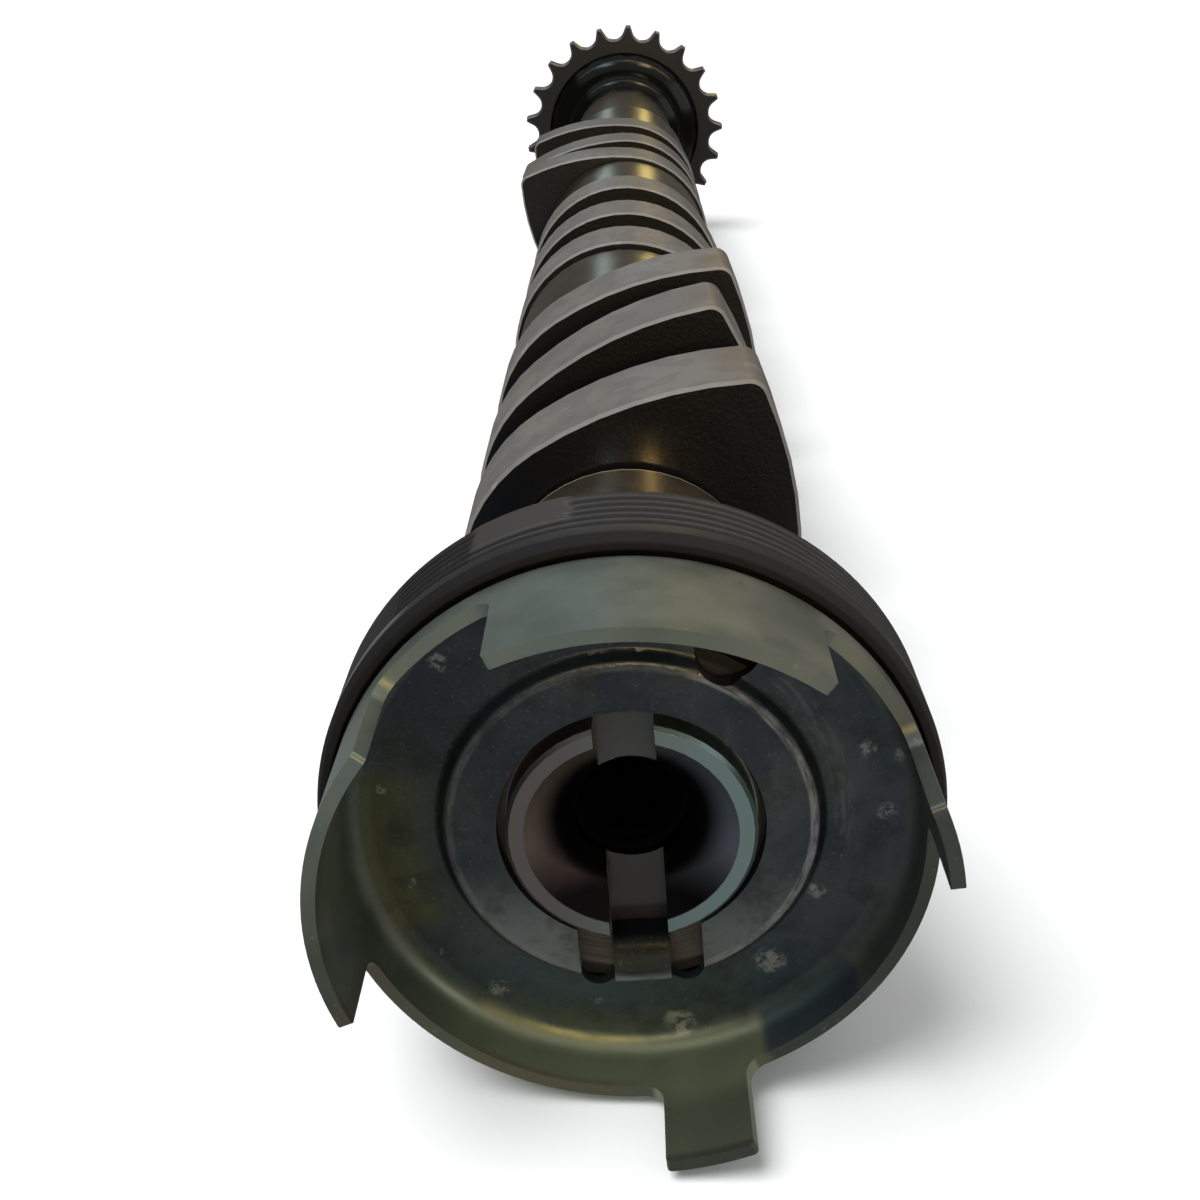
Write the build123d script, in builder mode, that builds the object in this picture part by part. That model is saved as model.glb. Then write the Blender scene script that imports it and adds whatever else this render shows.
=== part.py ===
from build123d import *
from math import acos, cos, radians, sin
import os

os.makedirs("parts", exist_ok=True)

# Frame: the origin is on the shaft's axis, in the front face of its spigot, at the mouth of the
# bolt bore. +Y runs along the shaft towards the chain sprocket, +X is to the right and +Z is up
# for someone who looks at the spigot. Angles turn about the axis from +X (0) to +Z (90).

# ---------------------------------------------------------------- camshaft: front end
SPIGOT_R = 9.4
SPIGOT_LENGTH = 2.9
SPIGOT_EDGE = 0.3
SHOULDER_R = 15.1
SEAL_JOURNAL_R = 16.0
SEAL_JOURNAL_LENGTH = 8.6
SEAL_LEAD_IN = 2.0
BORE_R = 4.4
BORE_DEPTH = 38.0
BORE_CONE_R = 8.0
DRILL_POINT = 2.5
SLOT_WIDTH = 4.45
SLOT_DEPTH = 4.1
SLOT_REACH = 12.6
SLOT_ANGLE = -85.0

# ---------------------------------------------------------------- camshaft: journals and necks
JOURNAL_R = 16.5
JOURNAL_EDGE = 0.5
FRONT_JOURNAL_END = 26.9
FRONT_NECK_R = 13.0
FRONT_NECK_EDGE = 0.4
FRONT_NECK_GROOVE = 0.7
NECK_R = 12.5
JOURNAL_LENGTH = 20.5
JOURNAL_TO_LOBE = 1.5

# ---------------------------------------------------------------- camshaft: lobes
GROUP_PITCH = 88.0
GROUP_NOSES = [60.4, 330.5, 150.5]
FIRST_LOBE = 44.9
LOBE_STARTS = [0.0, 24.2, 50.5]
LOBE_WIDTHS = [12.8, 12.2, 12.6]
LOBE_TURNS = [0.0, 7.0, -0.5]
BASE_R = 17.3
NOSE_REACH = 24.65
NOSE_R = 2.0
FLANK_R = 43.5
LOBE_EDGE = 0.35

# ---------------------------------------------------------------- camshaft: sprocket end
REAR_JOURNAL_END = 316.9
REAR_NECK_R = 14.5
REAR_STEP_R = 14.9
REAR_STEP_END = 350.0
COLLAR_START = 385.0
COLLAR_R = 17.6
COLLAR_HOLLOW = 0.5
COLLAR_END = 391.6
FLARE_R = 23.6
FLARE_HOLLOW = 1.2
SPROCKET_FACE = 397.4
SPROCKET_THICKNESS = 5.5
SPROCKET_TEETH = 21
SPROCKET_TIP_R = 31.1
SPROCKET_TOOTH_AT = 88.6
ROLLER_CENTRE_R = 30.5
ROLLER_R = 3.3
TOOTH_FLARE = 28.0
TOOTH_EDGE = 0.5
TAIL_R = 14.0
TAIL_LENGTH = 6.0
TAIL_EDGE = 1.0

# ---------------------------------------------------------------- trigger wheel
SHEET = 1.0
WHEEL_CLEARANCE = 0.2
WHEEL_BEND_R = 2.0
WHEEL_BORE_R = 10.05
BOSS_R = 13.95
BOSS_RISE = 1.0
BOSS_SLOPE = 0.6
BOSS_BEND_R = 0.5
BLADE_REACH = 13.5
BLADE_ROOT_R = 1.5
BLADE_TIP_R = 0.4
# The windows between the blades: where each starts and ends, and the height of the wall left there.
WINDOW_ANGLES = [(26.5, 56.0), (116.0, 144.0), (204.7, 277.7), (295.5, 368.5)]
WINDOW_WALLS = [4.7, 4.7, 5.7, 4.9]
BLADE_SEAM = 90.0
LOCATING_HOLE_R = 2.4
LOCATING_HOLE_AT_R = 16.0
LOCATING_HOLE_ANGLE = 65.7
TAB_CLEARANCE = 0.025
RELIEF_WIDTH = 2.6
RELIEF_REACH = 14.9
TAB_BEND_R = 13.2
TAB_INNER_R = 10.4
TAB_DROP = 0.8
TAB_FOLD_R = 0.4
TAB_TIP_CLEARANCE = 0.2

# ---------------------------------------------------------------- shaft seal
SEAL_R = 23.5
SEAL_WIDTH = 9.3
SEAL_GAP = 0.6
SEAL_RECESS = 2.6
SEAL_RIM = 0.4
SEAL_TAPER = 0.6
SEAL_TAPER_LENGTH = 2.4
SEAL_WALL = 2.4
SEAL_WEB = 1.6
SEAL_EDGE = 0.5
RIB_GROOVES = 5
RIB_PITCH = 1.15
RIB_GROOVE_WIDTH = 0.7
RIB_GROOVE_DEPTH = 0.3
FIRST_GROOVE = 3.0
LIP_CLEARANCE = 0.05
LIP_RELIEF = 0.85
LIP_BEHIND_WEB = 2.5
ARM_WALL = 1.2
ARM_LENGTH = 3.6
DUST_LIP_BEHIND_TAPER = 0.2
DUST_LIP_WIDTH = 0.9
DUST_LIP_ROOT = 1.6
SPRING_R = 0.7
SPRING_CLEARANCE = 0.02
SPRING_STANDS_OUT = 0.25

# ---------------------------------------------------------------- places that follow from them
SHOULDER_FACE = SPIGOT_LENGTH
SEAL_JOURNAL_START = SHOULDER_FACE + SEAL_LEAD_IN
SEAL_JOURNAL_END = SHOULDER_FACE + SEAL_JOURNAL_LENGTH
WHEEL_BACK = SHOULDER_FACE
WHEEL_FRONT = WHEEL_BACK - SHEET
BOSS_FRONT = WHEEL_FRONT - BOSS_RISE
BLADE_TIP = WHEEL_BACK - BLADE_REACH
RECESS_R = SEAL_R - SEAL_TAPER - SEAL_RIM
WHEEL_R = RECESS_R - WHEEL_CLEARANCE
WHEEL_INNER_R = WHEEL_R - SHEET
SPROCKET_BACK = SPROCKET_FACE + SPROCKET_THICKNESS
SHAFT_END = SPROCKET_BACK + TAIL_LENGTH
SEAL_FACE = WHEEL_BACK + SEAL_GAP
SEAL_FRONT = SEAL_FACE - SEAL_RECESS
SEAL_BACK = SEAL_FRONT + SEAL_WIDTH
WEB_BACK = SEAL_FACE + SEAL_WEB
LIP_R = SEAL_JOURNAL_R + LIP_CLEARANCE
ARM_INNER_R = LIP_R + LIP_RELIEF
ARM_OUTER_R = ARM_INNER_R + ARM_WALL
LIP_Y = WEB_BACK + LIP_BEHIND_WEB
DUST_LIP_Y = SEAL_JOURNAL_START + DUST_LIP_BEHIND_TAPER
TOUCH = 0.01
SPRING_CENTRE_R = ARM_OUTER_R + SPRING_STANDS_OUT


def across(y):
    """The plane across the axis at y, with local x and y along the part's +X and +Z."""
    return Plane.XZ.offset(-y)


def radial_plane(angle):
    """The plane that holds the axis at an angle, with local x outwards and local y along +Y."""
    a = radians(angle)
    return Plane(origin=(0, 0, 0), x_dir=(cos(a), 0, sin(a)), z_dir=(-sin(a), 0, cos(a)))


def turned_plane(angle, y):
    """The plane across the axis at y, with local x outwards at an angle."""
    a = radians(angle)
    return Plane(origin=(0, y, 0), x_dir=(cos(a), 0, sin(a)), z_dir=(0, -1, 0))


# ================================================================ one lobe for each place
# The base circle and the nose circle are joined on each side by one long flank arc that touches
# both from outside them.
nose_centre = NOSE_REACH - NOSE_R
to_base = FLANK_R - BASE_R
to_nose = FLANK_R - NOSE_R
flank_turn = acos((to_base**2 + nose_centre**2 - to_nose**2) / (2 * to_base * nose_centre))
flank_centre = Vector(to_base * cos(flank_turn), -to_base * sin(flank_turn))
base_end = flank_centre * (-BASE_R / to_base)
nose_out = (Vector(nose_centre, 0) - flank_centre) * (1 / to_nose)
nose_end = Vector(nose_centre, 0) + nose_out * NOSE_R
flank_mid = flank_centre + (base_end + nose_end - flank_centre * 2).normalized() * FLANK_R
lobe_places = [
    (FIRST_LOBE + group * GROUP_PITCH + start, width, nose + turn)
    for group, nose in enumerate(GROUP_NOSES)
    for start, width, turn in zip(LOBE_STARTS, LOBE_WIDTHS, LOBE_TURNS)
]


def lobe(y, width, nose):
    """One ground cam lobe from y to y + width, its nose pointing at an angle."""
    with BuildPart() as cam:
        with BuildSketch(turned_plane(nose, y)):
            with BuildLine():
                upper = ThreePointArc(base_end, flank_mid, nose_end)
                ThreePointArc(nose_end, (NOSE_REACH, 0), (nose_end.X, -nose_end.Y))
                mirror(upper, about=Plane.XZ)
                ThreePointArc(base_end, (-BASE_R, 0), (base_end.X, -base_end.Y))
            make_face()
        extrude(amount=-width)
        chamfer(cam.faces().filter_by(Axis.Y).edges(), LOBE_EDGE)
    return cam.part


lobes = [lobe(*place) for place in lobe_places]

# ================================================================ camshaft
journal_spans = [
    (
        FIRST_LOBE + group * GROUP_PITCH - JOURNAL_TO_LOBE - JOURNAL_LENGTH,
        FIRST_LOBE + group * GROUP_PITCH - JOURNAL_TO_LOBE,
    )
    for group in range(1, len(GROUP_NOSES))
]
last_start, last_width, last_nose = lobe_places[-1]
journal_spans.append((last_start + last_width + JOURNAL_TO_LOBE, REAR_JOURNAL_END))

# Chain sprocket, with the edges of its teeth bevelled on both faces. A tooth gap lies on local x:
# a roller seat whose straight flanks open outwards.
flank_slope = radians(TOOTH_FLARE)
mouth_half = (ROLLER_R + ROLLER_R * sin(flank_slope)) / cos(flank_slope)
with BuildSketch() as tooth_gap:
    with Locations((ROLLER_CENTRE_R, 0)):
        Circle(ROLLER_R)
    with Locations((ROLLER_CENTRE_R + ROLLER_R, 0)):
        Rectangle(TOOTH_EDGE, 2 * mouth_half)
    make_hull()

with BuildPart() as sprocket:
    with BuildSketch(across(SPROCKET_FACE)):
        Circle(SPROCKET_TIP_R)
        with PolarLocations(0, SPROCKET_TEETH, start_angle=SPROCKET_TOOTH_AT + 180 / SPROCKET_TEETH):
            add(tooth_gap.sketch, mode=Mode.SUBTRACT)
    extrude(amount=-SPROCKET_THICKNESS)
    chamfer(sprocket.faces().filter_by(Axis.Y).edges(), TOOTH_EDGE)

with BuildPart() as camshaft:
    # The whole shaft turned about its axis, from the spigot to the short tail behind the sprocket.
    with BuildSketch(Plane.XY):
        with BuildLine():
            Polyline(
                (0, 0),
                (SPIGOT_R - SPIGOT_EDGE, 0),
                (SPIGOT_R, SPIGOT_EDGE),
                (SPIGOT_R, SHOULDER_FACE),
                (SHOULDER_R, SHOULDER_FACE),
                (SEAL_JOURNAL_R, SEAL_JOURNAL_START),
                (SEAL_JOURNAL_R, SEAL_JOURNAL_END),
                (JOURNAL_R, SEAL_JOURNAL_END + JOURNAL_R - SEAL_JOURNAL_R),
                (JOURNAL_R, FRONT_JOURNAL_END - JOURNAL_EDGE),
                (JOURNAL_R - JOURNAL_EDGE, FRONT_JOURNAL_END),
                (FRONT_NECK_R, FRONT_JOURNAL_END),
                (FRONT_NECK_R, FIRST_LOBE - FRONT_NECK_GROOVE - FRONT_NECK_EDGE),
                (FRONT_NECK_R - FRONT_NECK_EDGE, FIRST_LOBE - FRONT_NECK_GROOVE),
                (NECK_R, FIRST_LOBE - FRONT_NECK_GROOVE),
                (NECK_R, REAR_JOURNAL_END),
                (REAR_STEP_R, REAR_JOURNAL_END),
                (REAR_STEP_R, REAR_STEP_END),
                (REAR_NECK_R, REAR_STEP_END + REAR_STEP_R - REAR_NECK_R),
                (REAR_NECK_R, COLLAR_START),
            )
            collar_face = COLLAR_START + COLLAR_R - REAR_NECK_R
            SagittaArc((REAR_NECK_R, COLLAR_START), (COLLAR_R, collar_face), -COLLAR_HOLLOW)
            Line((COLLAR_R, collar_face), (COLLAR_R, COLLAR_END))
            SagittaArc((COLLAR_R, COLLAR_END), (FLARE_R, SPROCKET_FACE), -FLARE_HOLLOW)
            Polyline(
                (FLARE_R, SPROCKET_FACE),
                (FLARE_R, SPROCKET_BACK),
                (TAIL_R, SPROCKET_BACK),
                (TAIL_R, SHAFT_END - TAIL_EDGE),
                (TAIL_R - TAIL_EDGE, SHAFT_END),
                (0, SHAFT_END),
                (0, 0),
            )
        make_face()
    revolve(axis=Axis.Y)
    # Bearing journals between the groups of lobes and behind the last one.
    for start, end in journal_spans:
        with BuildSketch(Plane.XY):
            with BuildLine():
                Polyline(
                    (0, start),
                    (JOURNAL_R - JOURNAL_EDGE, start),
                    (JOURNAL_R, start + JOURNAL_EDGE),
                    (JOURNAL_R, end - JOURNAL_EDGE),
                    (JOURNAL_R - JOURNAL_EDGE, end),
                    (0, end),
                    close=True,
                )
            make_face()
        revolve(axis=Axis.Y)
    add(lobes)
    add(sprocket)
    # Bolt bore with its drill point, countersunk at the mouth.
    with BuildSketch(Plane.XY):
        with BuildLine():
            Polyline(
                (0, 0),
                (BORE_CONE_R, 0),
                (BORE_R, BORE_CONE_R - BORE_R),
                (BORE_R, BORE_DEPTH),
                (0, BORE_DEPTH + DRILL_POINT),
                close=True,
            )
        make_face()
    revolve(axis=Axis.Y, mode=Mode.SUBTRACT)
    # Driving slot straight across the spigot, for the trigger wheel's tab.
    with BuildSketch(turned_plane(SLOT_ANGLE, 0)):
        Rectangle(2 * SLOT_REACH, SLOT_WIDTH)
    extrude(amount=-SLOT_DEPTH, mode=Mode.SUBTRACT)
camshaft.part.label = "camshaft"

# ================================================================ trigger wheel
# A pressed cup with one wall of sheet metal: a disc with a raised boss, and a wall cut into blades.
with BuildPart() as trigger_wheel:
    with BuildSketch(radial_plane(BLADE_SEAM)):
        with BuildLine() as sheet_line:
            FilletPolyline(
                (WHEEL_BORE_R, BOSS_FRONT),
                (BOSS_R, BOSS_FRONT),
                (BOSS_R + BOSS_SLOPE, WHEEL_FRONT),
                (WHEEL_INNER_R, WHEEL_FRONT),
                (WHEEL_INNER_R, BLADE_TIP),
                radius=[BOSS_BEND_R, BOSS_BEND_R, WHEEL_BEND_R],
            )
            offset(amount=SHEET, side=Side.LEFT)
        make_face()
    revolve(axis=Axis.Y)
    # Windows between the blades, each with round lower corners.
    for (first, last), wall in zip(WINDOW_ANGLES, WINDOW_WALLS):
        wall_front = WHEEL_BACK - wall
        with BuildSketch(radial_plane(last)):
            with BuildLine():
                Polyline(
                    (WHEEL_INNER_R - SHEET, wall_front),
                    (WHEEL_R + SHEET, wall_front),
                    (WHEEL_R + SHEET, BLADE_TIP - SHEET),
                    (WHEEL_INNER_R - SHEET, BLADE_TIP - SHEET),
                    close=True,
                )
            make_face()
        revolve(axis=Axis.Y, revolution_arc=last - first, mode=Mode.SUBTRACT)
    sheet_edges = trigger_wheel.edges().filter_by(lambda edge: abs(edge.length - SHEET) < TOUCH)
    root_edges = sheet_edges.filter_by_position(Axis.Y, BLADE_TIP + SHEET, WHEEL_FRONT - WHEEL_BEND_R)
    fillet(root_edges, BLADE_ROOT_R)
    sheet_edges = trigger_wheel.edges().filter_by(lambda edge: abs(edge.length - SHEET) < TOUCH)
    tip_edges = sheet_edges.filter_by_position(Axis.Y, BLADE_TIP - TOUCH, BLADE_TIP + TOUCH)
    fillet(tip_edges, BLADE_TIP_R)
    # Locating hole beside the boss.
    with BuildSketch(turned_plane(LOCATING_HOLE_ANGLE, BOSS_FRONT)):
        with Locations((LOCATING_HOLE_AT_R, 0)):
            Circle(LOCATING_HOLE_R)
    extrude(amount=-SHEET - BOSS_RISE, mode=Mode.SUBTRACT)
    # Relief notches on both sides of the tab, and the tab's own blank cut away up to its bend.
    tab_width = SLOT_WIDTH - 2 * TAB_CLEARANCE
    relief_offset = tab_width / 2 + RELIEF_WIDTH / 2
    with BuildSketch(turned_plane(SLOT_ANGLE, BOSS_FRONT)):
        with Locations(*[(RELIEF_REACH / 2, side * relief_offset) for side in (-1, 1)]):
            SlotOverall(RELIEF_REACH, RELIEF_WIDTH)
        with Locations((TAB_BEND_R / 2, 0)):
            Rectangle(TAB_BEND_R, tab_width + RELIEF_WIDTH)
    extrude(amount=-SHEET - BOSS_RISE, mode=Mode.SUBTRACT)
    # Driving tab, bent back into the shaft's slot.
    with BuildSketch(radial_plane(SLOT_ANGLE)):
        with BuildLine():
            FilletPolyline(
                (BOSS_R, BOSS_FRONT),
                (TAB_BEND_R, BOSS_FRONT),
                (TAB_INNER_R, BOSS_FRONT + TAB_DROP),
                (TAB_INNER_R, SLOT_DEPTH - TAB_TIP_CLEARANCE),
                radius=SHEET + TAB_FOLD_R,
            )
            offset(amount=SHEET, side=Side.RIGHT)
        make_face()
    extrude(amount=tab_width / 2, both=True)
trigger_wheel.part.label = "trigger_wheel"

# ================================================================ shaft seal
# A rubber ring with a grooved outside, recessed in front round the wheel, with a sealing lip on an
# arm behind its web and a small dust lip at its web.
rib_line = []
for i in range(RIB_GROOVES):
    groove_y = SEAL_FRONT + FIRST_GROOVE + i * RIB_PITCH
    rib_line += [
        (SEAL_R, groove_y - RIB_GROOVE_WIDTH / 2),
        (SEAL_R - RIB_GROOVE_DEPTH, groove_y),
        (SEAL_R, groove_y + RIB_GROOVE_WIDTH / 2),
    ]

with BuildPart() as shaft_seal:
    with BuildSketch(Plane.XY):
        with BuildLine():
            Polyline(
                (RECESS_R, SEAL_FRONT),
                (SEAL_R - SEAL_TAPER, SEAL_FRONT),
                (SEAL_R, SEAL_FRONT + SEAL_TAPER_LENGTH),
                *rib_line,
                (SEAL_R, SEAL_BACK - SEAL_EDGE),
                (SEAL_R - SEAL_EDGE, SEAL_BACK),
                (SEAL_R - SEAL_WALL, SEAL_BACK),
                (SEAL_R - SEAL_WALL, WEB_BACK),
                (ARM_OUTER_R, WEB_BACK),
                (ARM_OUTER_R, WEB_BACK + ARM_LENGTH),
                (ARM_INNER_R, WEB_BACK + ARM_LENGTH),
                (LIP_R, LIP_Y),
                (ARM_INNER_R, DUST_LIP_Y + DUST_LIP_WIDTH),
                (LIP_R, DUST_LIP_Y),
                (LIP_R + DUST_LIP_ROOT, SEAL_FACE),
                (RECESS_R, SEAL_FACE),
                close=True,
            )
        make_face()
        with Locations((SPRING_CENTRE_R, LIP_Y)):
            Circle(SPRING_R + SPRING_CLEARANCE, mode=Mode.SUBTRACT)
    revolve(axis=Axis.Y)
shaft_seal.part.label = "shaft_seal"

# ================================================================ garter spring on the lip
with BuildPart() as seal_spring:
    with BuildSketch(Plane.XY):
        with Locations((SPRING_CENTRE_R, LIP_Y)):
            Circle(SPRING_R)
    revolve(axis=Axis.Y)
seal_spring.part.label = "seal_spring"

for piece in (camshaft, trigger_wheel, shaft_seal, seal_spring):
    export_step(piece.part, f"parts/{piece.part.label}.step")
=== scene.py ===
import math

import bpy
import numpy as np
from mathutils import Matrix, Vector

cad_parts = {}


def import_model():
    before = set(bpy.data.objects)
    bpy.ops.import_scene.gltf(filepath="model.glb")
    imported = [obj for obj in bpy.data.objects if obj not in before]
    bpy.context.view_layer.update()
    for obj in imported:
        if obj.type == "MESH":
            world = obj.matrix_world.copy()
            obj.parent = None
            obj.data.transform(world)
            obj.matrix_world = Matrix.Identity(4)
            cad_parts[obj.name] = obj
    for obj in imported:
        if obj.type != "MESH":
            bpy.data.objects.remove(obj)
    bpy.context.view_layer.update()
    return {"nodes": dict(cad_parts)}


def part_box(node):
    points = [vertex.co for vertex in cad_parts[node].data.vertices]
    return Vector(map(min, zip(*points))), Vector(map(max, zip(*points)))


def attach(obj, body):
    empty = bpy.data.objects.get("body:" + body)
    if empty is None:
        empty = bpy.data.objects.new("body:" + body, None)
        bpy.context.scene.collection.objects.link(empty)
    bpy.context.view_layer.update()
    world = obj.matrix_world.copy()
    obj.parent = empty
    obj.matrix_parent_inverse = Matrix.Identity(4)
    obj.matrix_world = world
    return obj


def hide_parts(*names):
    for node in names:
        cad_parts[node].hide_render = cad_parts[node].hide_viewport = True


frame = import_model()

# Everything below is in millimetres until it goes into a mesh, a light or the camera.
MM = 0.001

# ---------------------------------------------------------------- sizes read from the solids
seal_low, seal_high = (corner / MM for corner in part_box("shaft_seal"))
wheel_low, wheel_high = (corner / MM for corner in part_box("trigger_wheel"))
shaft_low, _ = (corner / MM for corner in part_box("camshaft"))
spring_low, spring_high = (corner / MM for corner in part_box("seal_spring"))
SEAL_R = seal_high.x
SEAL_FRONT = seal_low.y
SEAL_BACK = seal_high.y
WHEEL_R = wheel_high.x
BLADE_TIP = wheel_low.y
SPRING_WIRE_RING_R = (spring_high.y - spring_low.y) / 2
SPRING_R = spring_high.x - SPRING_WIRE_RING_R
SPRING_Y = (spring_high.y + spring_low.y) / 2

# ---------------------------------------------------------------- sizes shared with the solids
SHOULDER_FACE = 2.9
SPIGOT_R = 9.4
BORE_R = 4.4
BORE_CONE_R = 8.0
BORE_DEPTH = 38.0
JOURNAL_R = 16.5
FRONT_NECK_R = 13.0
FRONT_NECK_END = 43.8
LOBE_BASE_R = 17.3
LOBE_NOSE_REACH = 24.65
LAST_GROUP_START = 220.9
LAST_LOBE_END = 284.0
COLLAR_START = 385.0
SPROCKET_FACE = 397.4
SPROCKET_FLARE_R = 23.6
DISC_FRONT = 1.9
BOSS_R = 13.95
TAB_ANGLE = -85
WEB_FRONT, WEB_BACK = 3.5, 5.1
RECESS_WALL = 1.0
SEAL_WALL = 2.4
DUST_LIP_ROOT_R = 17.65
LIP_R, LIP_Y = 16.05, 7.6
ARM_INNER_R, ARM_OUTER_R, ARM_ROOT, ARM_END = 16.9, 18.1, 6.0, 8.7
SEAT_R, SEAT_HALF, SEAT_MOUTH_HALF = 17.66, 0.35, 0.75

# ---------------------------------------------------------------- sizes of what only this script shapes
WELD = 0.0005
SHARP_ANGLE = math.radians(32)
SHAFT_EDGE = 0.12
SHEET_EDGE = 0.32
EDGE_STEPS = 2
THREAD_PITCH = 1.5
THREAD_HEIGHT = 0.42
THREAD_START = 4.4
THREAD_STEPS = 60
SEAL_STEPS = 540
SEAL_EDGE = 0.15
RIB_GROOVES = 5
RIB_PITCH = 1.15
RIB_DEPTH = 0.42
FIRST_GROOVE = 3.0
SMEAR_ANGLE, SMEAR_HALF, SMEAR_START, SMEAR_RISE = 111.3, 10.2, 5.0, 0.06
SPRING_TURNS = 380
SPRING_WIRE_R = 0.15

# The colour sockets of a Mix node, which share their names with its other sockets.
MIX_FACTOR, MIX_FIRST, MIX_SECOND, MIX_RESULT = 0, 6, 7, 2


# ================================================================ shader expressions
class Link:
    """A shader socket in an expression: an operator on it and another one, or a number, adds a Math node."""

    def __init__(self, finish, socket):
        self.finish = finish
        self.socket = socket

    def math(self, operation, *others):
        """A Math node on this value and the others."""
        values = dict(enumerate((self, *others)))
        return self.finish.node("ShaderNodeMath", {"operation": operation}, values)

    def __add__(self, other):
        return self.math("ADD", other)

    def __sub__(self, other):
        return self.math("SUBTRACT", other)

    def __mul__(self, other):
        return self.math("MULTIPLY", other)

    def __truediv__(self, other):
        return self.math("DIVIDE", other)

    def __rsub__(self, other):
        return self.finish.node("ShaderNodeMath", {"operation": "SUBTRACT"}, {0: other, 1: self})

    __radd__ = __add__
    __rmul__ = __mul__

    def __abs__(self):
        return self.math("ABSOLUTE")

    def most(self, other):
        """The larger of this value and another one."""
        return self.math("MAXIMUM", other)

    def rise(self, low, high):
        """0 below low, 1 above high and a smooth step between; with low above high it falls."""
        settings = {"interpolation_type": "SMOOTHSTEP"}
        values = {"Value": self, "From Min": low, "From Max": high}
        return self.finish.node("ShaderNodeMapRange", settings, values)

    def band(self, low, high, soft):
        """1 between low and high, and 0 outside them, with soft edges."""
        return self.rise(low - soft, low + soft) * self.rise(high + soft, high - soft)

    def near(self, places, reach, soft):
        """1 within reach of the nearest of some places, fading over soft more."""
        found = 0
        for x, y, z in places:
            settings = {"operation": "DISTANCE"}
            away = self.finish.node("ShaderNodeVectorMath", settings, {0: self, 1: (x, y, z)}, "Value")
            found = away.rise(reach + soft, reach).most(found)
        return found


class Finish:
    """One material, with the places and directions on the part, in millimetres, as expressions."""

    def __init__(self, name):
        self.material = bpy.data.materials.new(name)
        self.material.use_nodes = True
        self.nodes = self.material.node_tree.nodes
        self.links = self.material.node_tree.links
        self.surface = self.nodes["Principled BSDF"]
        place = self.node("ShaderNodeTexCoord", {}, {}, "Object")
        self.place = self.node("ShaderNodeVectorMath", {"operation": "SCALE"}, {0: place, "Scale": 1 / MM})
        self.x, self.y, self.z = self.split(self.place)
        self.radius = (self.x * self.x + self.z * self.z).math("SQRT")
        self.turn = self.z.math("ARCTAN2", self.x)
        self.normal_y = self.split(self.node("ShaderNodeNewGeometry", {}, {}, "Normal"))[1]

    def node(self, kind, settings, values, output=0):
        """Adds a node, sets its own settings first and then its sockets, and gives one output."""
        node = self.nodes.new(kind)
        for key, setting in settings.items():
            setattr(node, key, setting)
        for key, value in values.items():
            if isinstance(value, Link):
                self.links.new(value.socket, node.inputs[key])
            else:
                node.inputs[key].default_value = value
        return Link(self, node.outputs[output])

    def split(self, vector):
        """The x, y and z of a vector, as three numbers."""
        node = self.nodes.new("ShaderNodeSeparateXYZ")
        self.links.new(vector.socket, node.inputs[0])
        return [Link(self, output) for output in node.outputs]

    def join(self, x, y, z):
        """A vector from its x, y and z."""
        return self.node("ShaderNodeCombineXYZ", {}, {0: x, 1: y, 2: z})

    def toward(self, angle, half_width, soft):
        """1 within half_width degrees of an angle about the axis, fading over soft degrees more."""
        a = math.radians(angle)
        across = (self.x * math.cos(a) + self.z * math.sin(a)) / self.radius
        return across.rise(math.cos(math.radians(half_width + soft)), math.cos(math.radians(half_width)))

    def noise(self, scale, detail=3.0, roughness=0.55, place=None):
        """Cloudy noise about 0.5; scale is the number of its cells to a millimetre of the place."""
        values = {"Vector": place or self.place, "Scale": scale, "Detail": detail, "Roughness": roughness}
        return self.node("ShaderNodeTexNoise", {}, values)

    def warped(self, scale, amount):
        """The place, moved about by noise by up to half the amount each way."""
        values = {"Vector": self.place, "Scale": scale, "Detail": 3.0}
        wander = self.node("ShaderNodeTexNoise", {}, values, "Color")
        moved = {0: wander, 1: (amount,) * 3, 2: self.place}
        away = self.node("ShaderNodeVectorMath", {"operation": "MULTIPLY_ADD"}, moved)
        return self.node("ShaderNodeVectorMath", {"operation": "SUBTRACT"}, {0: away, 1: (amount / 2,) * 3})

    def mix(self, mask, first, second):
        """The first colour where the mask is 0 and the second where it is 1."""
        values = {MIX_FACTOR: mask, MIX_FIRST: _colour(first), MIX_SECOND: _colour(second)}
        return self.node("ShaderNodeMix", {"data_type": "RGBA"}, values, MIX_RESULT)

    def blend(self, mask, first, second):
        """The first number where the mask is 0 and the second where it is 1."""
        return mask * (second - first) + first

    def bump(self, height, distance, after=None):
        """A bump whose height of 1 stands distance millimetres out, on top of another bump."""
        values = {"Height": height, "Distance": distance * MM}
        if after:
            values["Normal"] = after
        return self.node("ShaderNodeBump", {}, values)

    def set(self, **sockets):
        """Sets or links the surface's own sockets."""
        for name, value in sockets.items():
            socket = self.surface.inputs[name.replace("_", " ")]
            if isinstance(value, Link):
                self.links.new(value.socket, socket)
            else:
                socket.default_value = _colour(value)
        return self.material


def _colour(value):
    """A colour of three shares as a shader socket takes it, with its fourth; anything else as it is."""
    return (*value, 1.0) if isinstance(value, tuple) and len(value) == 3 else value


# ================================================================ shapes
def make_piece(name, points, faces, finish, slot, *stands_for):
    """An object in the shared frame from points in millimetres; it rides on the one body."""
    mesh = bpy.data.meshes.new(name)
    mesh.from_pydata(points * MM, [], faces)
    mesh.validate()
    mesh.shade_smooth()
    mesh.materials.append(finish)
    piece = bpy.data.objects.new(name, mesh)
    bpy.context.collection.objects.link(piece)
    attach(piece, "root")
    if stands_for:
        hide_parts(*stands_for)
    return piece


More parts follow.
